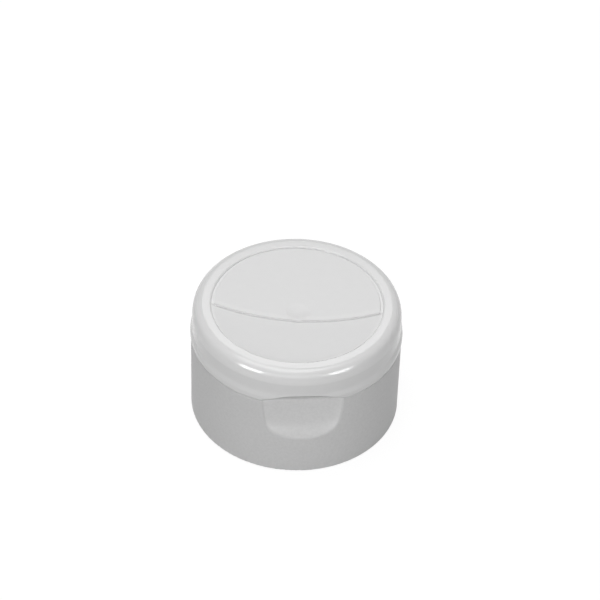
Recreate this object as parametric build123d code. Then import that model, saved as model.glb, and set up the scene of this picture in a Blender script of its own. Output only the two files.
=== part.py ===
from build123d import *
import os
from math import sqrt

os.makedirs("parts", exist_ok=True)

# A flip top closure, moulded in one piece: a base that screws on a bottle's neck,
# a lid, and the thin film between them that the lid swings on.
# Millimetres. Z is up, the origin is the centre of the base's bottom rim,
# the thumb scoop faces -Y and the film is at +Y. The lid is shut.

# Base, outside
body_radius = 21.0
foot_draft = 0.1
body_height = 18.1
body_wall = 1.4
foot_rounding = 0.35
ledge_rounding = 0.5

# Base, inside: the sleeve that takes the neck's thread, and the deck over it
neck_bore_radius = 14.0
neck_land_radius = 13.2
neck_land_height = 2.2
sleeve_wall = 1.5
deck_thickness = 1.5
seal_ring_radius = 11.6
seal_ring_width = 0.9
seal_ring_depth = 0.8
rib_count = 12
rib_thickness = 0.8
rib_foot = 3.0

# Pouring hole and the collar round it
orifice_radius = 3.95
collar_wall = 1.3
collar_height = 0.8

# Upstand that the lid snaps over
upstand_gap = 0.25
upstand_wall = 1.0
upstand_height = 2.6
upstand_front_setback = 0.7
bead_height = 0.12
bead_level = 0.85

# Scoop for the thumb at the front, repeated at the back to make room for the lid
scoop_depth = 1.9
scoop_height = 9.4
scoop_half_width = 10.2
scoop_foot_half_width = 8.3
scoop_foot_bow = 1.6
scoop_corner_radius = 4.6
scoop_blend_radius = 3.0
scoop_lip_rounding = 0.45
scoop_backing = 1.3

# Lid
lid_height = 7.9
seam_gap = 0.15
lip_overhang = 0.15
lip_height = 0.8
lip_rounding = 0.25
flare_height = 1.8
band_setback = 0.2
band_height = 4.8
lid_wall = 1.4
roof_thickness = 1.3
roll_width = 2.0
rim_width = 1.8
rim_rounding = 0.38
roll_fullness = 0.66
inner_corner_radius = 1.6

# Top of the lid: a sunk panel with a raised pad behind a bowed step
panel_depth = 0.4
pad_height = 0.32
pad_gap = 0.5
pad_bow_radius = 40.0
pad_front = 5.0
pad_edge_rounding = 0.12
panel_turn = -7.0

# Mark of the moulding gate: a shallow dish in a round boss
gate_forward = 2.3
gate_boss_radius = 2.95
gate_dish_radius = 2.4
gate_dish_depth = 0.16

# Plug under the lid that shuts the pouring hole
plug_clearance = 0.05
plug_wall = 0.85
plug_reach = 1.2
plug_chamfer = 0.3

# Arch in the lid's front edge, over the scoop
arch_rise = 2.25
arch_reach = 4.5

# Film hinge
hinge_setback = 0.9
film_thickness = 0.3
film_loop_radius = 0.64
film_half_width = 5.0
lid_pocket_height = 4.2
lid_pocket_blend = 1.2
pocket_wall = 1.2

# Sizes that follow from those above
seam = body_height
deck_underside = seam - deck_thickness
body_foot_radius = body_radius - foot_draft
skirt_inner_radius = body_radius - body_wall
sleeve_radius = neck_bore_radius + sleeve_wall
thread_top = deck_underside - neck_land_height
lip_radius = body_radius + lip_overhang
band_radius = body_radius - band_setback
rim_outer_radius = band_radius - roll_width
rim_inner_radius = rim_outer_radius - rim_width
flat_distance = body_radius - scoop_depth
hinge_distance = body_radius - hinge_setback
lid_top = seam + lid_height
panel_level = lid_top - panel_depth
roof_underside = panel_level - roof_thickness
lid_inner_radius = band_radius - lid_wall
upstand_radius = lid_inner_radius - upstand_gap
plug_radius = orifice_radius - plug_clearance
backing_distance = flat_distance - scoop_backing
pocket_inner = flat_distance - pocket_wall
over = 1.0


def tube(outer, inner, low, high):
    """A plain round tube standing between two levels."""
    ring = Circle(outer) - Circle(inner)
    return Pos(0, 0, low) * extrude(ring, high - low)


def disc(radius, low, high):
    """A plain round slug standing between two levels."""
    return Pos(0, 0, low) * extrude(Circle(radius), high - low)


def block(low_corner, high_corner):
    """A box between two corners."""
    size = [b - a for a, b in zip(low_corner, high_corner)]
    return Pos(*low_corner) * Box(*size, align=(Align.MIN, Align.MIN, Align.MIN))


def tongue_outline(spread):
    """Outline of the scoop seen from the front, grown on all its sides by spread."""
    foot = seam - scoop_height - spread
    shoulder = foot + scoop_foot_bow
    top = seam + over
    half_top = scoop_half_width + spread
    half_foot = scoop_foot_half_width + spread
    left_side = Line((-half_top, top), (-half_foot, shoulder))
    bottom = ThreePointArc((-half_foot, shoulder), (0, foot), (half_foot, shoulder))
    right_side = Line((half_foot, shoulder), (half_top, top))
    head = Line((half_top, top), (-half_top, top))
    face = make_face(left_side + bottom + right_side + head)
    corners = face.vertices().sort_by(Axis.Y)[:2]
    return fillet(corners, scoop_corner_radius + spread)


def scoop_tool():
    """The body of air in front of the scoop's floor, with its foot and sides blended."""
    tool = Plane.XZ * tongue_outline(0)
    tool = Pos(0, -flat_distance, 0) * extrude(tool, scoop_depth + 2 * over)
    floor = tool.faces().sort_by(Axis.Y)[-1]
    ends = floor.edges().sort_by(Axis.Z)[:-1]
    return fillet(ends, scoop_blend_radius)


def scoop_backing_pad():
    """Room behind the scoop's floor that is left solid, so that the wall keeps its thickness."""
    tool = Plane.XZ * tongue_outline(scoop_backing)
    return Pos(0, -backing_distance, 0) * extrude(tool, body_radius)


def skirt():
    """Outer form of the base: the front half with its scoop, repeated at the back."""
    wall = Polyline(
        (body_foot_radius, 0),
        (body_radius, seam),
        (0, seam),
        (0, 0),
        close=True,
    )
    solid = revolve(Plane.XZ * make_face(wall), Axis.Z)
    foot = solid.edges().filter_by(GeomType.CIRCLE).sort_by(Axis.Z)[0]
    solid = fillet(foot, foot_rounding)
    solid -= scoop_tool()
    solid = fillet(solid.edges().group_by(Axis.Z)[-1], ledge_rounding)
    foot_level = seam - scoop_height
    lips = [
        e
        for e in solid.edges().filter_by(GeomType.BSPLINE)
        if foot_level - 1 < e.center().Z < seam - 2 * ledge_rounding
    ]
    solid = fillet(lips, scoop_lip_rounding)
    reach = body_radius + over
    half = solid & block((-reach, -reach, -over), (reach, 0, seam + over))
    return half + Rot(0, 0, 180) * half


def ribs():
    """Thin walls under the deck that stiffen the skirt against the sleeve."""
    low = (sleeve_radius - sleeve_wall / 2, -rib_thickness / 2, rib_foot)
    high = (body_radius + over, rib_thickness / 2, seam)
    rib = block(low, high)
    step = 360 / rib_count
    return [Rot(0, 0, (i + 0.5) * step) * rib for i in range(rib_count)]


def skirt_hollow():
    """The space inside the skirt, kept clear of the walls behind the two scoops."""
    space = disc(skirt_inner_radius, -over, deck_underside)
    space -= scoop_backing_pad()
    space -= Rot(0, 0, 180) * scoop_backing_pad()
    for rib in ribs():
        space -= rib
    return space


def upstand():
    """Ring that the lid snaps over, flattened over the scoop and beside the film."""
    front = flat_distance - upstand_front_setback
    back = pocket_inner - upstand_gap
    crest = seam + upstand_height
    bead = seam + bead_level
    low = deck_underside
    limits = Pos(0, (back - front) / 2, 0) * Rectangle(4 * body_radius, back + front)
    outline = Circle(upstand_radius) & limits
    ring = outline - offset(outline, -upstand_wall)
    ring = Pos(0, 0, low) * extrude(ring, crest - low)
    ridge = Polyline(
        (upstand_radius - bead_height, bead - 2 * bead_height),
        (upstand_radius + bead_height, bead),
        (upstand_radius - bead_height, bead + 2 * bead_height),
        close=True,
    )
    ridge = revolve(Plane.XZ * make_face(ridge), Axis.Z)
    return ring + (ridge & block((-body_radius, -front, low), (body_radius, back, crest)))


def seal_ring():
    """Pointed ring under the deck that bites on the rim of the bottle's neck."""
    tip = deck_underside - seal_ring_depth
    half = seal_ring_width / 2
    section = Polyline(
        (seal_ring_radius - half, deck_underside + half),
        (seal_ring_radius - half, deck_underside),
        (seal_ring_radius - half / 4, tip),
        (seal_ring_radius + half / 4, tip),
        (seal_ring_radius + half, deck_underside),
        (seal_ring_radius + half, deck_underside + half),
        close=True,
    )
    return revolve(Plane.XZ * make_face(section), Axis.Z)


def cap_base():
    """The base: skirt, deck, threaded sleeve, ribs, pouring hole and upstand."""
    solid = skirt() - skirt_hollow()
    solid += tube(sleeve_radius, neck_bore_radius, 0, seam - over)
    solid += tube(sleeve_radius, neck_land_radius, thread_top, seam - over)
    solid += upstand()
    solid += seal_ring()
    solid += disc(orifice_radius + collar_wall, seam - over, seam + collar_height)
    solid -= disc(orifice_radius, deck_underside - over, seam + collar_height + over)
    return solid


def lid_outside():
    """The lid's outer form: lip, plain band, rolled shoulder and rim."""
    edge = seam + seam_gap
    lip_top = edge + lip_height
    flare_top = lip_top + flare_height
    band_top = seam + band_height
    reach = band_radius - rim_outer_radius
    rise = lid_top - band_top
    outline = [
        Line((0, edge), (lip_radius, edge)),
        Line((lip_radius, edge), (lip_radius, lip_top)),
        Bezier(
            (lip_radius, lip_top),
            (lip_radius, lip_top + flare_height / 2),
            (band_radius, flare_top - flare_height / 2),
            (band_radius, flare_top),
        ),
        Line((band_radius, flare_top), (band_radius, band_top)),
        Bezier(
            (band_radius, band_top),
            (band_radius, band_top + rise * roll_fullness),
            (rim_outer_radius + reach * roll_fullness, lid_top),
            (rim_outer_radius, lid_top),
        ),
        Line((rim_outer_radius, lid_top), (0, lid_top)),
        Line((0, lid_top), (0, edge)),
    ]
    solid = revolve(Plane.XZ * make_face(outline), Axis.Z)
    lip_edge = solid.edges().filter_by(GeomType.CIRCLE).sort_by(Axis.Z)[0]
    return fillet(lip_edge, lip_rounding)


def lid_hollow():
    """The space under the lid, kept clear of the wall behind the film's pocket."""
    edge = seam - over
    section = Polyline(
        (0, edge),
        (lid_inner_radius, edge),
        (lid_inner_radius, roof_underside),
        (0, roof_underside),
        close=True,
    )
    solid = revolve(Plane.XZ * make_face(section), Axis.Z)
    corner = solid.edges().filter_by(GeomType.CIRCLE).sort_by(Axis.Z)[-1]
    solid = fillet(corner, inner_corner_radius)
    pocket_roof = seam + lid_pocket_height + lid_wall
    wall = block((-body_radius, pocket_inner, edge - over), (body_radius, body_radius, pocket_roof))
    return solid - wall


def lid_pocket_tool():
    """Flat cut at the back of the lid's edge, where the film joins it."""
    low = (-body_radius, flat_distance, seam - over)
    high = (body_radius, body_radius + over, seam + lid_pocket_height)
    tool = block(low, high)
    inner_edge = tool.edges().filter_by(Axis.X).sort_by(Axis.Z)[-2:].sort_by(Axis.Y)[0]
    return fillet(inner_edge, lid_pocket_blend)


def arch_tool():
    """Low arch through the lid's front wall, as wide as the scoop's flat."""
    half = sqrt(body_radius**2 - flat_distance**2)
    edge = seam + seam_gap
    curve = ThreePointArc((-half, edge), (0, edge + arch_rise), (half, edge))
    sides = Polyline((half, edge), (half, edge - over), (-half, edge - over), (-half, edge))
    face = Plane.XZ * make_face(curve + sides)
    return Pos(0, -body_radius + arch_reach, 0) * extrude(face, arch_reach + over)


def top_pad():
    """The raised pad: the part of the panel behind the bowed step, with the gate's boss."""
    panel = Circle(rim_inner_radius - pad_gap)
    bow = Pos(0, pad_bow_radius - pad_front, 0) * Circle(pad_bow_radius)
    boss = Pos(0, -gate_forward, 0) * Circle(gate_boss_radius)
    face = Rot(0, 0, panel_turn) * (panel & bow) + boss
    solid = Pos(0, 0, panel_level - pad_height) * extrude(face, 2 * pad_height)
    crest = solid.faces().sort_by(Axis.Z)[-1]
    return fillet(crest.edges(), pad_edge_rounding)


def gate_dish():
    """Shallow bowl left by the moulding gate, as a ball sunk in the boss."""
    ball_radius = (gate_dish_radius**2 + gate_dish_depth**2) / (2 * gate_dish_depth)
    centre = panel_level + pad_height - gate_dish_depth + ball_radius
    return Pos(0, -gate_forward, centre) * Sphere(ball_radius)


def plug():
    """Tube under the lid's roof that enters the pouring hole."""
    foot = seam - plug_reach
    wall = tube(plug_radius, plug_radius - plug_wall, foot, roof_underside + over / 2)
    rim = wall.edges().filter_by(GeomType.CIRCLE).group_by(Axis.Z)[0].sort_by(SortBy.RADIUS)[-1]
    return chamfer(rim, plug_chamfer)


def lid():
    """The lid: rolled shell, sunk panel with its pad, plug, pocket and front arch."""
    solid = lid_outside() - lid_hollow()
    solid -= disc(rim_inner_radius, panel_level, lid_top + over)
    rim = [
        e
        for e in solid.edges().filter_by(GeomType.CIRCLE)
        if abs(e.radius - rim_inner_radius) < 0.01 and abs(e.center().Z - lid_top) < 0.01
    ]
    solid = fillet(rim, rim_rounding)
    solid += top_pad()
    solid -= gate_dish()
    solid += plug()
    solid -= lid_pocket_tool()
    solid -= arch_tool()
    return solid


def hinge_film():
    """The thin film, folded into a loop between the flats of the base and the lid."""
    centre = hinge_distance - film_loop_radius
    outer = film_loop_radius + film_thickness / 2
    inner = film_loop_radius - film_thickness / 2
    leg = centre - flat_distance
    middle = flat_distance + leg / 2
    loop = Pos(centre, seam) * Circle(outer) + Pos(middle, seam) * Rectangle(leg, 2 * outer)
    hollow = Pos(centre, seam) * Circle(inner) + Pos(middle, seam) * Rectangle(leg, 2 * inner)
    behind = Pos(flat_distance - outer, seam) * Rectangle(2 * outer, 4 * outer)
    section = Plane.YZ * (loop - hollow - behind)
    return extrude(section, film_half_width, both=True)


export_step(cap_base(), "parts/cap_base.step")
export_step(lid(), "parts/lid.step")
export_step(hinge_film(), "parts/hinge_film.step")
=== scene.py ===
"""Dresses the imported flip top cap: its plastics, neck thread, film hinge, studio and camera.

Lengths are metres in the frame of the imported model. Z is up, the origin is the centre of the
bottom rim, the thumb scoop faces -Y and the film hinge is at +Y. The lid is shut.
"""

import logging
from dataclasses import dataclass
from enum import Enum
from math import cos, hypot, pi, radians, sin, tau
from typing import Any, Callable

import bpy
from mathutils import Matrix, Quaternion, Vector


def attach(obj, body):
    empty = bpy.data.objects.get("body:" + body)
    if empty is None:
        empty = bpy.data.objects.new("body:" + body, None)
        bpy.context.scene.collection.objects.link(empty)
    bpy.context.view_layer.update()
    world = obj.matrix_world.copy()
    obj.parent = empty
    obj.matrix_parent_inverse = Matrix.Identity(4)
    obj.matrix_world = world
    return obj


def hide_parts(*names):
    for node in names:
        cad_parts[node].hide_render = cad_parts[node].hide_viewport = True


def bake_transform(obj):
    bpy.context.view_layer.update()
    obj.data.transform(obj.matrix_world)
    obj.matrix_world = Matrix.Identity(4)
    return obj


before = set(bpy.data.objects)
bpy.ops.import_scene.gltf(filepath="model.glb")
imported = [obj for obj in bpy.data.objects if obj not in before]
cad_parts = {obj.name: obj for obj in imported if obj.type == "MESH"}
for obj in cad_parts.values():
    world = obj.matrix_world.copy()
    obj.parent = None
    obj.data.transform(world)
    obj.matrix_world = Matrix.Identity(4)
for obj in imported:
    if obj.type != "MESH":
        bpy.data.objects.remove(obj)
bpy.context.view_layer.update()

MM = 0.001
# Values between which most of a noise pattern lies
NOISE_RUN = (0.3, 0.7)
NOISE_ROUGHNESS = 0.55
PLASTIC_IOR = 1.49
WHITE = (1.0, 1.0, 1.0, 1.0)
LOG = logging.getLogger("flip_top_cap")

Socket = bpy.types.NodeSocket
Place = tuple[float, float, float]


class Body(Enum):
    """The two halves of the moulding that the film joins."""

    BASE = "base"
    LID = "lid"


class Curve(Enum):
    """How a value goes from one level to another."""

    STRAIGHT = "LINEAR"
    SOFT = "SMOOTHSTEP"


class NodeBoard:
    """The node tree of a material or a sky, filled one node at a time."""

    def __init__(self, owner: bpy.types.Material | bpy.types.World) -> None:
        """Empty the tree.

        Args:
            owner: the material or sky that the tree belongs to.
        """
        owner.use_nodes = True
        self.tree = owner.node_tree
        self.tree.nodes.clear()

    def feed(self, socket: Socket, value: Any) -> None:
        """Link an output to an input, or set the input to a plain value.

        Args:
            socket: the input.
            value: the output or the plain value.
        """
        if isinstance(value, Socket):
            self.tree.links.new(value, socket)
        else:
            socket.default_value = value

    def add(self, kind: str, settings: dict[str, Any] | None = None, **sockets: Any) -> bpy.types.Node:
        """Add a node, set its options, and fill or link its inputs.

        Args:
            kind: the node's type, without the word ShaderNode.
            settings: options of the node itself.
            **sockets: inputs by name, spaces written as underscores; an output socket is linked.

        Returns:
            The new node.
        """
        node = self.tree.nodes.new("ShaderNode" + kind)
        for option, value in (settings or {}).items():
            setattr(node, option, value)
        for name, value in sockets.items():
            self.feed(node.inputs[name.replace("_", " ")], value)
        return node

    def ramp(
        self,
        value: Socket,
        start: float,
        end: float,
        low: float = 0.0,
        high: float = 1.0,
        curve: Curve = Curve.STRAIGHT,
    ) -> Socket:
        """Go from one level to another while a value runs from start to end.

        Args:
            value: the output that carries the value.
            start: the value at which the level is low.
            end: the value at which the level is high.
            low: the first level.
            high: the last level.
            curve: how it goes between them.

        Returns:
            The output that carries the level.
        """
        return self.add(
            "MapRange",
            {"interpolation_type": curve.value},
            Value=value,
            From_Min=start,
            From_Max=end,
            To_Min=low,
            To_Max=high,
        ).outputs["Result"]

    def spread(self, pattern: Socket, middle: float, reach: float) -> Socket:
        """Turn a pattern of 0 to 1 into values round a middle.

        Args:
            pattern: the output that carries the pattern.
            middle: the value in the middle of the pattern's run.
            reach: how far the values go to either side.

        Returns:
            The output that carries the new values.
        """
        return self.ramp(pattern, *NOISE_RUN, middle - reach, middle + reach)

    def blend(self, share: Socket, low: float, high: float) -> Socket:
        """Go from one value to another as a share goes from 0 to 1.

        Args:
            share: the output that carries the share.
            low: the value at 0.
            high: the value at 1.

        Returns:
            The output that carries the value.
        """
        return self.ramp(share, 0.0, 1.0, low, high)

    def calculate(self, operation: str, *terms: Socket | float) -> Socket:
        """Join outputs and numbers by a sum.

        Args:
            operation: the kind of sum.
            *terms: the outputs or numbers that go into it.

        Returns:
            The output that carries the result.
        """
        node = self.add("Math", {"operation": operation})
        for term, socket in zip(terms, node.inputs):
            self.feed(socket, term)
        return node.outputs["Value"]

    def distance(self, place: Socket, centre: Place) -> Socket:
        """Measure how far a place is from a centre.

        Args:
            place: the output that carries the place.
            centre: the centre.

        Returns:
            The output that carries the distance.
        """
        node = self.add("VectorMath", {"operation": "DISTANCE"})
        self.feed(node.inputs[0], place)
        self.feed(node.inputs[1], centre)
        return node.outputs["Value"]

    def noise(self, place: Socket, size: float, detail: float) -> Socket:
        """Add a noise pattern of a real size.

        Args:
            place: the coordinates it is laid on.
            size: size of one lump.
            detail: number of finer layers in it.

        Returns:
            The output that carries the pattern.
        """
        return self.add(
            "TexNoise",
            Vector=place,
            Scale=1 / size,
            Detail=detail,
            Roughness=NOISE_ROUGHNESS,
        ).outputs["Fac"]

    def colour(self, grey: Socket) -> Socket:
        """Turn a grey level into a colour."""
        return self.add("CombineColor", Red=grey, Green=grey, Blue=grey).outputs["Color"]

    def shows(self) -> Socket:
        """Tell what the camera sees, also in gloss or through something clear, from plain light.

        Returns:
            The output that is 1 for what is seen.
        """
        path = self.add("LightPath").outputs
        sharp = self.calculate("MAXIMUM", path["Is Glossy Ray"], path["Is Transmission Ray"])
        return self.calculate("MAXIMUM", path["Is Camera Ray"], sharp)

    def mix(self, share: Socket, low: Socket, high: Socket) -> Socket:
        """Mix two shaders.

        Args:
            share: the output that is 0 for the first shader and 1 for the second.
            low: the first shader.
            high: the second shader.

        Returns:
            The mixed shader.
        """
        node = self.add("MixShader", Fac=share)
        self.feed(node.inputs[1], low)
        self.feed(node.inputs[2], high)
        return node.outputs["Shader"]


@dataclass(frozen=True)
class Spot:
    """Outputs that say where on its piece a spot of skin lies.

    Attributes:
        place: its coordinates.
        flat: the same with their height taken out.
        out: its distance from the cap's axis.
        height: its height.
    """

    place: Socket
    flat: Socket
    out: Socket
    height: Socket

    @classmethod
    def on(cls, board: NodeBoard) -> "Spot":
        """Add the outputs to a tree.

        Args:
            board: the material in work.

        Returns:
            The outputs.
        """
        place = board.add("TexCoord").outputs["Object"]
        sides = board.add("SeparateXYZ", Vector=place).outputs
        flat = board.add("CombineXYZ", X=sides["X"], Y=sides["Y"]).outputs["Vector"]
        return cls(place, flat, board.distance(flat, (0, 0, 0)), sides["Z"])


@dataclass(frozen=True)
class Skin:
    """What one region of the mould's steel leaves on the plastic.

    Attributes:
        tone: grey level of the skin.
        roughness: roughness of the skin.
        grain_height: height of its grain.
    """

    tone: float
    roughness: float
    grain_height: float


@dataclass(frozen=True)
class Disc:
    """A disc seen from above.

    Attributes:
        centre: its middle.
        radius: its radius.
    """

    centre: tuple[float, float]
    radius: float

    def beyond(self, board: NodeBoard, spot: Spot) -> Socket:
        """Measure how far a spot lies outside the disc.

        Args:
            board: the material in work.
            spot: where the spot lies.

        Returns:
            The output that carries the distance, less than nothing inside.
        """
        return board.calculate("SUBTRACT", board.distance(spot.flat, (*self.centre, 0)), self.radius)


@dataclass(frozen=True)
class PaintedStepShading:
    """Painted shade in a dark line at the foot of the pad's step, round the bow and the gate's boss.

    Attributes:
        bow: the disc whose edge is the bow.
        boss: the gate's boss.
        width: width of the line.
        shade: share of the grey level left in the line, a painted shade.
        gleam: painted highlight, an extra share of grey level on the pad's rounded edge beside the line.
        reach: width of that lighter edge.
        thin: share of the grey level left past the line, a painted shade on the front panel, which is
            thinner.
    """

    bow: Disc
    boss: Disc
    width: float
    shade: float
    gleam: float
    reach: float
    thin: float

    def keep(self, board: NodeBoard, spot: Spot) -> Socket:
        """Work out the painted shade and highlight as a share of the grey level at each spot.

        Args:
            board: the material in work.
            spot: where the spot lies.

        Returns:
            The output that is 1 on the pad, away from the line and its lighter edge.
        """
        past = board.calculate("MINIMUM", self.bow.beyond(board, spot), self.boss.beyond(board, spot))
        away = board.calculate("ABSOLUTE", past)
        # Painted shade in the line at the step's foot
        line = board.ramp(away, self.width / 4, self.width, self.shade, 1.0, Curve.SOFT)
        # Painted highlight on the pad's rounded edge
        away = board.calculate("ABSOLUTE", board.calculate("ADD", past, self.reach / 2))
        edge = board.ramp(away, 0.0, self.reach / 2, 1.0 + self.gleam, 1.0, Curve.SOFT)
        # Painted shade on the front panel past the line
        panel = board.ramp(past, 0.0, self.width, 1.0, self.thin)
        return board.calculate("MULTIPLY", board.calculate("MULTIPLY", line, edge), panel)


@dataclass(frozen=True)
class PaintedLightBelt:
    """A belt of painted light on the skin between two heights.

    Attributes:
        bottom: height at which the belt begins.
        bottom_width: height over which it comes in.
        top: height at which the belt ends.
        top_width: height over which it fades.
        lift: how much brighter the painted light makes the plastic there.
    """

    bottom: float
    bottom_width: float
    top: float
    top_width: float
    lift: float

    def gain(self, board: NodeBoard, spot: Spot) -> Socket:
        """Work out how much brighter each spot is.

        Args:
            board: the material in work.
            spot: where the spot lies.

        Returns:
            The output that is 1 away from the belt.
        """
        above = board.ramp(spot.height, self.bottom, self.bottom + self.bottom_width, curve=Curve.SOFT)
        under = board.ramp(spot.height, self.top, self.top - self.top_width, curve=Curve.SOFT)
        return board.blend(board.calculate("MULTIPLY", above, under), 1.0, self.lift)


@dataclass(frozen=True)
class PaintedGrooveLight:
    """Painted light that fills the shade in the groove round the panel, standing in for light that passes
    through the plastic.

    Attributes:
        radius: distance of the groove's middle from the axis.
        height: height of the groove's middle.
        near: distance from that middle up to which the lift is full.
        far: distance from that middle at which the lift ends.
        lift: how much brighter the painted light makes the plastic there.
    """

    radius: float
    height: float
    near: float
    far: float
    lift: float

    def gain(self, board: NodeBoard, spot: Spot) -> Socket:
        """Work out how much brighter each spot is.

        Args:
            board: the material in work.
            spot: where the spot lies.

        Returns:
            The output that is 1 away from the groove.
        """
        # Painted light, full near the groove's middle and fading outward
        section = board.add("CombineXYZ", X=spot.out, Z=spot.height).outputs["Vector"]
        away = board.distance(section, (self.radius, 0, self.height))
        return board.ramp(away, self.near, self.far, self.lift, 1.0, Curve.SOFT)


@dataclass(frozen=True)
class MouldedPlastic:
    """White polypropylene whose skin changes at one distance from the cap's axis.

    Attributes:
        name: name of the material.
        inside: skin nearer to the axis than the border and above the level.
        outside: skin everywhere else.
        border: distance from the axis at which the skin changes.
        border_width: width over which it changes.
        level: height under which the outside skin goes on to the axis.
        mottle: how far the grey level wanders, as a share of it.
        mottle_size: size of a cloud in the grey level.
        roughness_change: how far the roughness wanders.
        grain_size: size of one grain.
        wave_size: length of the slow waves that shrinking leaves.
        wave_height: height of those waves.
        painted_step_shading: painted shade and highlight along the pad's step in the inside skin, where
            there is one.
        groove: painted light in the panel's groove, where there is one.
        belt: belt of painted light, where there is one.
    """

    name: str
    inside: Skin
    outside: Skin
    border: float
    border_width: float
    level: float
    mottle: float
    mottle_size: float
    roughness_change: float
    grain_size: float
    wave_size: float
    wave_height: float
    painted_step_shading: PaintedStepShading | None = None
    groove: PaintedGrooveLight | None = None
    belt: PaintedLightBelt | None = None

    def region(self, board: NodeBoard, spot: Spot) -> Socket:
        """Tell the two skins apart by the distance from the axis and the height.

        Args:
            board: the material in work.
            spot: where the spot lies.

        Returns:
            The output that is 0 in the inside skin and 1 in the outside skin.
        """
        half = self.border_width / 2
        beyond = board.ramp(spot.out, self.border - half, self.border + half)
        return board.calculate("MAXIMUM", beyond, board.calculate("LESS_THAN", spot.height, self.level))

    def grey(self, board: NodeBoard, spot: Spot, region: Socket) -> Socket:
        """Work out the grey level of each spot.

        Args:
            board: the material in work.
            spot: where the spot lies.
            region: the output that tells the two skins apart.

        Returns:
            The output that carries the grey level.
        """
        grey = board.blend(region, self.inside.tone, self.outside.tone)
        clouds = board.noise(spot.place, self.mottle_size, detail=3)
        shares = [board.spread(clouds, 1.0, self.mottle)]
        # Painted shade and highlight along the pad's step, in the inside skin only
        if self.painted_step_shading:
            painted_share = self.painted_step_shading.keep(board, spot)
            inside = board.add("Mix", {"data_type": "FLOAT"}, Factor=region, A=painted_share, B=1.0)
            shares.append(inside.outputs["Result"])
        # Painted light that fills the groove's shade
        if self.groove:
            shares.append(self.groove.gain(board, spot))
        # Painted light on the belt
        if self.belt:
            shares.append(self.belt.gain(board, spot))
        for share in shares:
            grey = board.calculate("MULTIPLY", grey, share)
        return grey

    def relief(self, board: NodeBoard, spot: Spot, region: Socket, grains: Socket) -> Socket:
        """Lay the slow waves and the fine grain on the surface.

        Args:
            board: the material in work.
            spot: where the spot lies.
            region: the output that tells the two skins apart.
            grains: the grain's pattern.

        Returns:
            The output that carries the surface's direction.
        """
        waves = board.noise(spot.place, self.wave_size, detail=1)
        slow = board.add("Bump", Height=waves, Strength=1.0, Distance=self.wave_height)
        height = board.blend(region, self.inside.grain_height, self.outside.grain_height)
        height = board.calculate("MULTIPLY", height, grains)
        fine = board.add("Bump", Height=height, Strength=1.0, Distance=1.0, Normal=slow.outputs["Normal"])
        return fine.outputs["Normal"]

    def make(self) -> bpy.types.Material:
        """Build the material.

        Returns:
            The plastic, ready to assign.
        """
        material = bpy.data.materials.new(self.name)
        board = NodeBoard(material)
        spot = Spot.on(board)
        region = self.region(board, spot)
        grains = board.noise(spot.place, self.grain_size, detail=2)
        rough = board.blend(region, self.inside.roughness, self.outside.roughness)
        shader = board.add(
            "BsdfPrincipled",
            Base_Color=board.colour(self.grey(board, spot, region)),
            Roughness=board.calculate("ADD", rough, board.spread(grains, 0.0, self.roughness_change)),
            IOR=PLASTIC_IOR,
            Normal=self.relief(board, spot, region, grains),
        )
        board.add("OutputMaterial", Surface=shader.outputs["BSDF"])
        return material


BASE_PLASTIC = MouldedPlastic(
    name="grained_white_plastic",
    inside=Skin(tone=0.765, roughness=0.55, grain_height=0.001 * MM),
    # The outside tone sits below the inside's and the lid's: the same plastic, with painted shade for the
    # dimmer light on the body's walls
    outside=Skin(tone=0.685, roughness=0.55, grain_height=0.012 * MM),
    border=20.75 * MM,
    border_width=0.2 * MM,
    level=-1.0 * MM,
    mottle=0.03,
    mottle_size=0.55 * MM,
    roughness_change=0.04,
    grain_size=0.3 * MM,
    wave_size=9 * MM,
    wave_height=0.02 * MM,
)
# The bow and the boss lie where the solid model has them
PANEL_TURN = radians(-7)
BOW_OFFSET = 35.0 * MM
# Painted shade along the foot of the pad's step, with a painted highlight on its edge
PAINTED_STEP_SHADING = PaintedStepShading(
    bow=Disc((-BOW_OFFSET * sin(PANEL_TURN), BOW_OFFSET * cos(PANEL_TURN)), 40.0 * MM),
    boss=Disc((0, -2.3 * MM), 2.95 * MM),
    width=0.36 * MM,
    shade=0.84,
    gleam=0.035,
    reach=1.7 * MM,
    thin=0.972,
)
# Painted light that fills the shade of the groove round the panel
PAINTED_GROOVE_LIGHT = PaintedGrooveLight(radius=16.85 * MM, height=25.7 * MM, near=0.2 * MM, far=0.5 * MM, lift=1.04)
# Painted light on the lid's roll, between these heights
PAINTED_ROLL_LIGHT = PaintedLightBelt(bottom=22.9 * MM, bottom_width=0.5 * MM, top=25.2 * MM, top_width=1.4 * MM, lift=1.10)
LID_PLASTIC = MouldedPlastic(
    name="polished_white_plastic",
    inside=Skin(tone=0.835, roughness=0.36, grain_height=0.002 * MM),
    outside=Skin(tone=0.80, roughness=0.15, grain_height=0.0001 * MM),
    border=17.0 * MM,
    border_width=0.1 * MM,
    level=25.0 * MM,
    mottle=0.006,
    mottle_size=2.0 * MM,
    roughness_change=0.01,
    grain_size=0.35 * MM,
    wave_size=7 * MM,
    wave_height=0.004 * MM,
    painted_step_shading=PAINTED_STEP_SHADING,
    groove=PAINTED_GROOVE_LIGHT,
    belt=PAINTED_ROLL_LIGHT,
)


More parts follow.
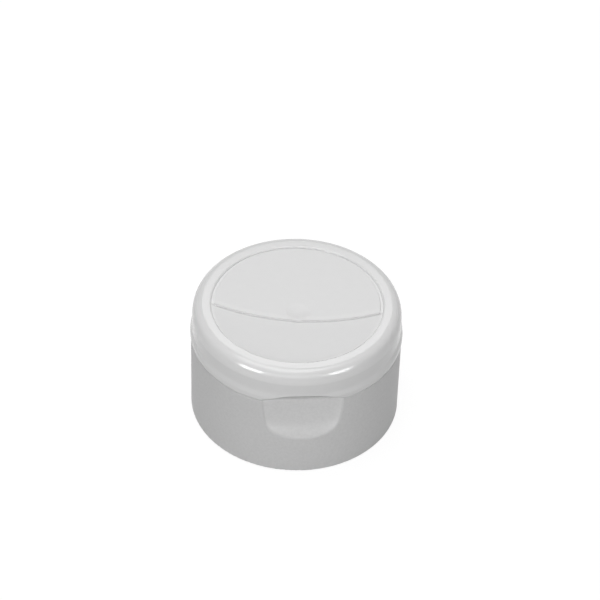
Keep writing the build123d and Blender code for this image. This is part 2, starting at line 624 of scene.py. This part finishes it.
@dataclass(frozen=True)
class WhitePaper:
    """The floor's paper: white to the camera, and plain pale paper to the light that falls on it.

    Attributes:
        name: name of the material.
        bounce: share of the light that it throws back on the object.
        glow: white that the camera sees whatever falls on it.
        shade: share of the light that it shows to the camera, which keeps the shadow.
        fibre_size: size of one fibre.
        fibre_change: how far the fibres change the light thrown back.
    """

    name: str = "white_paper"
    bounce: float = 0.45
    glow: float = 0.90
    shade: float = 0.16
    fibre_size: float = 1.1 * MM
    fibre_change: float = 0.01

    def make(self) -> bpy.types.Material:
        """Build the material.

        Returns:
            The paper, ready to assign.
        """
        material = bpy.data.materials.new(self.name)
        board = NodeBoard(material)
        place = board.add("TexCoord").outputs["Object"]
        fibres = board.noise(place, self.fibre_size, detail=2)
        bounce = board.colour(board.spread(fibres, self.bounce, self.fibre_change))
        thrown = board.add("BsdfDiffuse", Color=bounce).outputs["BSDF"]
        shown = board.add("BsdfDiffuse", Color=(self.shade, self.shade, self.shade, 1)).outputs["BSDF"]
        white = board.add("Emission", Color=WHITE, Strength=self.glow).outputs["Emission"]
        seen = board.add("AddShader")
        board.feed(seen.inputs[0], shown)
        board.feed(seen.inputs[1], white)
        sheet = board.mix(board.shows(), thrown, seen.outputs["Shader"])
        under = board.add("NewGeometry").outputs["Backfacing"]
        clear = board.add("BsdfTransparent").outputs["BSDF"]
        board.add("OutputMaterial", Surface=board.mix(under, sheet, clear))
        return material


def start_clean() -> None:
    """Leave object mode as the only mode and nothing selected."""
    if bpy.context.object and bpy.context.object.mode != "OBJECT":
        bpy.ops.object.mode_set(mode="OBJECT")
    bpy.ops.object.select_all(action="DESELECT")


def pick(piece: bpy.types.Object, wanted: Callable[[Vector, int], bool]) -> None:
    """Select the corner points of a piece in edit mode by their place or order.

    Args:
        piece: the piece in edit mode.
        wanted: says of a point's place and number whether it is picked.
    """
    bpy.ops.mesh.select_all(action="DESELECT")
    bpy.ops.object.mode_set(mode="OBJECT")
    for vertex in piece.data.vertices:
        vertex.select = wanted(vertex.co, vertex.index)
    bpy.ops.object.mode_set(mode="EDIT")


def dress(piece: bpy.types.Object, material: bpy.types.Material) -> None:
    """Give a whole piece one material.

    Args:
        piece: the piece to dress.
        material: its finish.
    """
    if not piece.material_slots:
        piece.data.materials.append(material)
    for slot in piece.material_slots:
        slot.material = material


@dataclass
class Shell:
    """The moulded halves that come from the solid model and keep their shape.

    Attributes:
        base_node: the base with its scoop, deck and sleeve.
        lid_node: the lid with its panel and plug.
    """

    base_node: str = "cap_base"
    lid_node: str = "lid"

    def build(self, base_skin: bpy.types.Material, lid_skin: bpy.types.Material) -> list[str]:
        """Dress both halves.

        Args:
            base_skin: finish of the base.
            lid_skin: finish of the lid.

        Returns:
            Names of the pieces.
        """
        dress(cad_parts[self.base_node], base_skin)
        dress(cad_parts[self.lid_node], lid_skin)
        return [self.base_node, self.lid_node]


@dataclass
class NeckThread:
    """The thread inside the sleeve that grips the bottle's neck.

    Attributes:
        root_radius: radius of the sleeve's bore, which the thread stands on.
        crest_radius: radius over the thread's crest.
        pitch: rise of one turn, six to the inch.
        turns: number of turns.
        first_level: height of the thread's middle where it begins.
        root_width: width of the thread on the bore.
        crest_width: width of the thread at its crest.
        rounding: rounding of the section's corners.
        rounding_steps: facets round one corner.
        steps_per_turn: facets in one turn.
        run_out: steps over which each end sinks into the bore.
        sink: how deep the thread's foot stands in the bore's wall.
        smooth_angle: greatest angle between facets that are shaded as one.
    """

    root_radius: float = 14.0 * MM
    crest_radius: float = 12.98 * MM
    pitch: float = 4.233 * MM
    turns: float = 1.5
    first_level: float = 3.4 * MM
    root_width: float = 2.3 * MM
    crest_width: float = 0.9 * MM
    rounding: float = 0.3 * MM
    rounding_steps: int = 3
    steps_per_turn: int = 80
    run_out: int = 7
    sink: float = 0.15 * MM
    smooth_angle: float = radians(40)

    def section(self) -> bpy.types.Object:
        """Make the thread's section, standing on the bore at the thread's beginning.

        Returns:
            The section as a flat face.
        """
        depth = self.root_radius + self.sink - self.crest_radius
        middle = self.crest_radius + depth / 2
        bpy.ops.mesh.primitive_plane_add(size=1, location=(0, 0, 0), rotation=(pi / 2, 0, 0))
        piece = bpy.context.object
        piece.name = "neck_thread"
        piece.scale = (depth, self.root_width, 1)
        piece.location = (middle, 0, self.first_level)
        bpy.ops.object.transform_apply(location=True, rotation=True, scale=True)
        bpy.ops.object.mode_set(mode="EDIT")
        pick(piece, lambda place, number: place.x < middle)
        bpy.ops.transform.resize(
            value=(1, 1, self.crest_width / self.root_width),
            center_override=(self.crest_radius, 0, self.first_level),
        )
        bpy.ops.mesh.bevel(affect="VERTICES", offset=self.rounding, segments=self.rounding_steps)
        bpy.ops.object.mode_set(mode="OBJECT")
        return piece

    def wind(self, piece: bpy.types.Object) -> int:
        """Wind the section up the bore and close both ends.

        Args:
            piece: the section, which becomes the thread.

        Returns:
            Number of corner points in one section.
        """
        points = len(piece.data.vertices)
        screw = piece.modifiers.new("winding", "SCREW")
        screw.angle = tau * self.turns
        screw.screw_offset = self.pitch * self.turns
        screw.steps = screw.render_steps = round(self.steps_per_turn * self.turns)
        screw.use_smooth_shade = False
        bpy.ops.object.modifier_apply(modifier=screw.name)
        bpy.ops.object.mode_set(mode="EDIT")
        bpy.ops.mesh.select_all(action="SELECT")
        bpy.ops.mesh.fill_holes(sides=0)
        bpy.ops.mesh.select_all(action="SELECT")
        bpy.ops.mesh.normals_make_consistent(inside=False)
        bpy.ops.object.mode_set(mode="OBJECT")
        return points

    def sink_ends(self, piece: bpy.types.Object, points: int) -> None:
        """Let both ends of the thread run out into the bore.

        Args:
            piece: the wound thread.
            points: number of corner points in one section.
        """
        rings = len(piece.data.vertices) // points
        middle = (self.crest_radius + self.root_radius) / 2
        full = (self.root_radius + self.sink / 2) / self.crest_radius - 1
        bpy.ops.object.mode_set(mode="EDIT")
        for ring in range(self.run_out):
            scale = 1 + full * (1 - ring / self.run_out) ** 2
            ends = {ring, rings - 1 - ring}
            pick(piece, lambda place, number: number // points in ends and hypot(*place.xy) < middle)
            bpy.ops.transform.resize(value=(scale, scale, 1), center_override=(0, 0, 0))
        bpy.ops.object.mode_set(mode="OBJECT")
        bpy.ops.object.shade_smooth_by_angle(angle=self.smooth_angle)

    def build(self, skin: bpy.types.Material) -> list[str]:
        """Build and dress the thread.

        Args:
            skin: finish of the base.

        Returns:
            Names of the pieces.
        """
        start_clean()
        piece = self.section()
        points = self.wind(piece)
        self.sink_ends(piece, points)
        dress(piece, skin)
        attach(piece, Body.BASE.value)
        return [piece.name]


@dataclass
class FilmHinge:
    """The thin film, folded in a loop between the flats of the base and the lid.

    Attributes:
        node: the solid that the film stands for.
        root_distance: distance from the axis of the cap at which the film's legs begin.
        loop_distance: distance from the axis of the cap to the loop's middle.
        fold_level: height of the fold's middle.
        loop_radius: radius of the loop at the middle of the film.
        thickness: thickness of the film.
        half_width: half the film's width.
        lanes: strips across the width.
        leg_steps: strips along each leg.
        arc_steps: strips round the loop.
        edge_rounding: rounding of the film's edges.
        edge_steps: facets round one edge.
        edge_angle: least angle that counts as an edge.
        smooth_angle: greatest angle between facets that are shaded as one.
        slack: distance at which two points count as one place.
    """

    node: str = "hinge_film"
    root_distance: float = 18.95 * MM
    loop_distance: float = 19.46 * MM
    fold_level: float = 18.1 * MM
    loop_radius: float = 0.64 * MM
    thickness: float = 0.3 * MM
    half_width: float = 5.0 * MM
    lanes: int = 16
    leg_steps: int = 4
    arc_steps: int = 24
    edge_rounding: float = 0.06 * MM
    edge_steps: int = 2
    edge_angle: float = radians(60)
    smooth_angle: float = radians(50)
    slack: float = 0.0001 * MM

    def leg(self) -> bpy.types.Object:
        """Lay the film's first leg from the base's flat to the loop.

        Returns:
            The leg, as a flat strip.
        """
        length = self.loop_distance - self.root_distance
        middle = (self.loop_distance + self.root_distance) / 2
        bpy.ops.mesh.primitive_grid_add(
            x_subdivisions=self.lanes,
            y_subdivisions=self.leg_steps,
            size=1,
            location=(0, 0, 0),
        )
        piece = bpy.context.object
        piece.name = "film_hinge"
        piece.scale = (2 * self.half_width, length, 1)
        piece.location = (0, middle, self.fold_level - self.loop_radius)
        bpy.ops.object.transform_apply(location=True, rotation=True, scale=True)
        return piece

    def fold(self, piece: bpy.types.Object) -> None:
        """Fold the film round its loop and lay the second leg.

        Args:
            piece: the first leg, which becomes the film.
        """
        bpy.ops.object.mode_set(mode="EDIT")
        bpy.ops.mesh.select_mode(type="VERT")
        pick(piece, lambda place, number: place.y > self.loop_distance - self.slack)
        bpy.ops.mesh.spin(
            steps=self.arc_steps,
            angle=pi,
            center=(0, self.loop_distance, self.fold_level),
            axis=(1, 0, 0),
        )
        step = (self.root_distance - self.loop_distance) / self.leg_steps
        for _ in range(self.leg_steps):
            bpy.ops.mesh.extrude_region_move(TRANSFORM_OT_translate={"value": (0, step, 0)})
        bpy.ops.mesh.select_all(action="SELECT")
        bpy.ops.mesh.remove_doubles(threshold=self.slack)
        bpy.ops.mesh.normals_make_consistent(inside=False)
        bpy.ops.object.mode_set(mode="OBJECT")

    def thicken(self, piece: bpy.types.Object) -> None:
        """Give the film its thickness and soft edges.

        Args:
            piece: the folded film.
        """
        wall = piece.modifiers.new("wall", "SOLIDIFY")
        wall.thickness = self.thickness
        wall.offset = 0
        bpy.ops.object.modifier_apply(modifier=wall.name)
        soft = piece.modifiers.new("soft_edges", "BEVEL")
        soft.width = self.edge_rounding
        soft.segments = self.edge_steps
        soft.limit_method = "ANGLE"
        soft.angle_limit = self.edge_angle
        bpy.ops.object.modifier_apply(modifier=soft.name)
        bpy.ops.object.shade_smooth_by_angle(angle=self.smooth_angle)

    def build(self, skin: bpy.types.Material) -> list[str]:
        """Build and dress the film, and hide the solid that it stands for.

        Args:
            skin: finish of the base.

        Returns:
            Names of the pieces.
        """
        start_clean()
        piece = self.leg()
        self.fold(piece)
        self.thicken(piece)
        dress(piece, skin)
        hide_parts(self.node)
        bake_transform(piece)
        return [piece.name]


CAP_MIDDLE = (0.0, 0.0, 15.0 * MM)


@dataclass(frozen=True)
class Softbox:
    """A lamp with a flat cloth front.

    Attributes:
        name: the lamp's name.
        place: where it hangs.
        width: width of its front.
        height: height of its front.
        power: light that it gives, in watts.
        only_gloss: whether it shows in glossy skins alone and leaves the plain shading as it is.
        aim: the point it faces.
    """

    name: str
    place: Place
    width: float
    height: float
    power: float
    only_gloss: bool = False
    aim: Place = CAP_MIDDLE

    def build(self) -> None:
        """Hang the lamp."""
        bpy.ops.object.light_add(type="AREA", location=self.place)
        lamp = bpy.context.object
        lamp.name = self.name
        lamp.data.shape = "RECTANGLE"
        lamp.data.size = self.width
        lamp.data.size_y = self.height
        lamp.data.energy = self.power
        lamp.visible_diffuse = not self.only_gloss
        look = Vector(self.aim) - Vector(self.place)
        lamp.rotation_euler = look.to_track_quat("-Z", "Y").to_euler()


SOFTBOXES = (
    Softbox("top_softbox", place=(-0.06, 0.05, 0.80), width=0.60, height=0.60, power=3.20),
    Softbox("rear_softbox", place=(0.05, 0.49, 0.55), width=0.16, height=0.16, power=0.27),
    Softbox("front_softbox", place=(-0.18, -0.93, 0.29), width=2.20, height=0.50, power=5.60),
    Softbox(
        "left_softbox",
        place=(-0.509, -0.451, 0.150),
        width=0.27,
        height=0.28,
        power=2.60,
        only_gloss=True,
    ),
    Softbox(
        "right_softbox",
        place=(0.436, -0.521, 0.150),
        width=0.27,
        height=0.28,
        power=2.35,
        only_gloss=True,
    ),
)


@dataclass
class Studio:
    """Floor, sky and lamps round the cap.

    Attributes:
        floor_size: side of the floor.
        floor_drop: how far the paper gives way under the cap's rim.
        sky_level: light that the sky gives.
        paper: finish of the floor.
        lamps: the softboxes.
    """

    floor_size: float = 3.0
    floor_drop: float = 0.05 * MM
    sky_level: float = 0.21
    paper: WhitePaper = WhitePaper()
    lamps: tuple[Softbox, ...] = SOFTBOXES

    def lay_floor(self) -> None:
        """Lay the paper that the cap stands on."""
        start_clean()
        bpy.ops.mesh.primitive_plane_add(size=self.floor_size, location=(0, 0, -self.floor_drop))
        floor = bpy.context.object
        floor.name = "floor"
        dress(floor, self.paper.make())

    def light_sky(self) -> None:
        """Surround the cap with an even sky that looks white."""
        world = bpy.data.worlds.new("studio_sky")
        bpy.context.scene.world = world
        board = NodeBoard(world)
        level = board.blend(board.shows(), self.sky_level, 1.0)
        sky = board.add("Background", Color=WHITE, Strength=level)
        board.add("OutputWorld", Surface=sky.outputs["Background"])

    def build(self) -> list[str]:
        """Set up the studio.

        Returns:
            Names of what was set up.
        """
        self.lay_floor()
        self.light_sky()
        for lamp in self.lamps:
            lamp.build()
        return ["floor", "studio_sky", *(lamp.name for lamp in self.lamps)]


@dataclass(frozen=True)
class Camera:
    """The camera that took the view from the front and above.

    Attributes:
        place: where it stands.
        aim: the point in the middle of its view.
        roll: turn about its own line of sight.
        lens: focal length in millimetres.
        sensor: width of its sensor in millimetres.
        nearest: distance at which its view begins.
    """

    place: Place = (-39.763 * MM, -454.492 * MM, 434.46 * MM)
    aim: Place = (0.513 * MM, -0.046 * MM, 26.854 * MM)
    roll: float = radians(1.883)
    lens: float = 185.81
    sensor: float = 36.0
    nearest: float = 10.0 * MM

    def build(self) -> list[str]:
        """Stand the camera in its place.

        Returns:
            The camera's name.
        """
        bpy.ops.object.camera_add(location=self.place)
        camera = bpy.context.object
        camera.name = "view"
        camera.data.lens = self.lens
        camera.data.sensor_width = self.sensor
        camera.data.clip_start = self.nearest
        look = (Vector(self.aim) - Vector(self.place)).to_track_quat("-Z", "Y")
        camera.rotation_euler = (look @ Quaternion((0, 0, 1), self.roll)).to_euler()
        bpy.context.scene.camera = camera
        return [camera.name]


def main() -> None:
    """Build every part in order and report its pieces."""
    logging.basicConfig(level=logging.INFO, format="%(name)s: %(message)s")
    bpy.context.scene.view_settings.view_transform = "Standard"
    base_skin = BASE_PLASTIC.make()
    lid_skin = LID_PLASTIC.make()
    parts = (
        ("shell", lambda: Shell().build(base_skin, lid_skin)),
        ("neck thread", lambda: NeckThread().build(base_skin)),
        ("film hinge", lambda: FilmHinge().build(base_skin)),
        ("studio", Studio().build),
        ("camera", Camera().build),
    )
    for name, build in parts:
        for piece in build():
            LOG.info("%s: %s", name, piece)


if __name__ == "__main__":
    main()
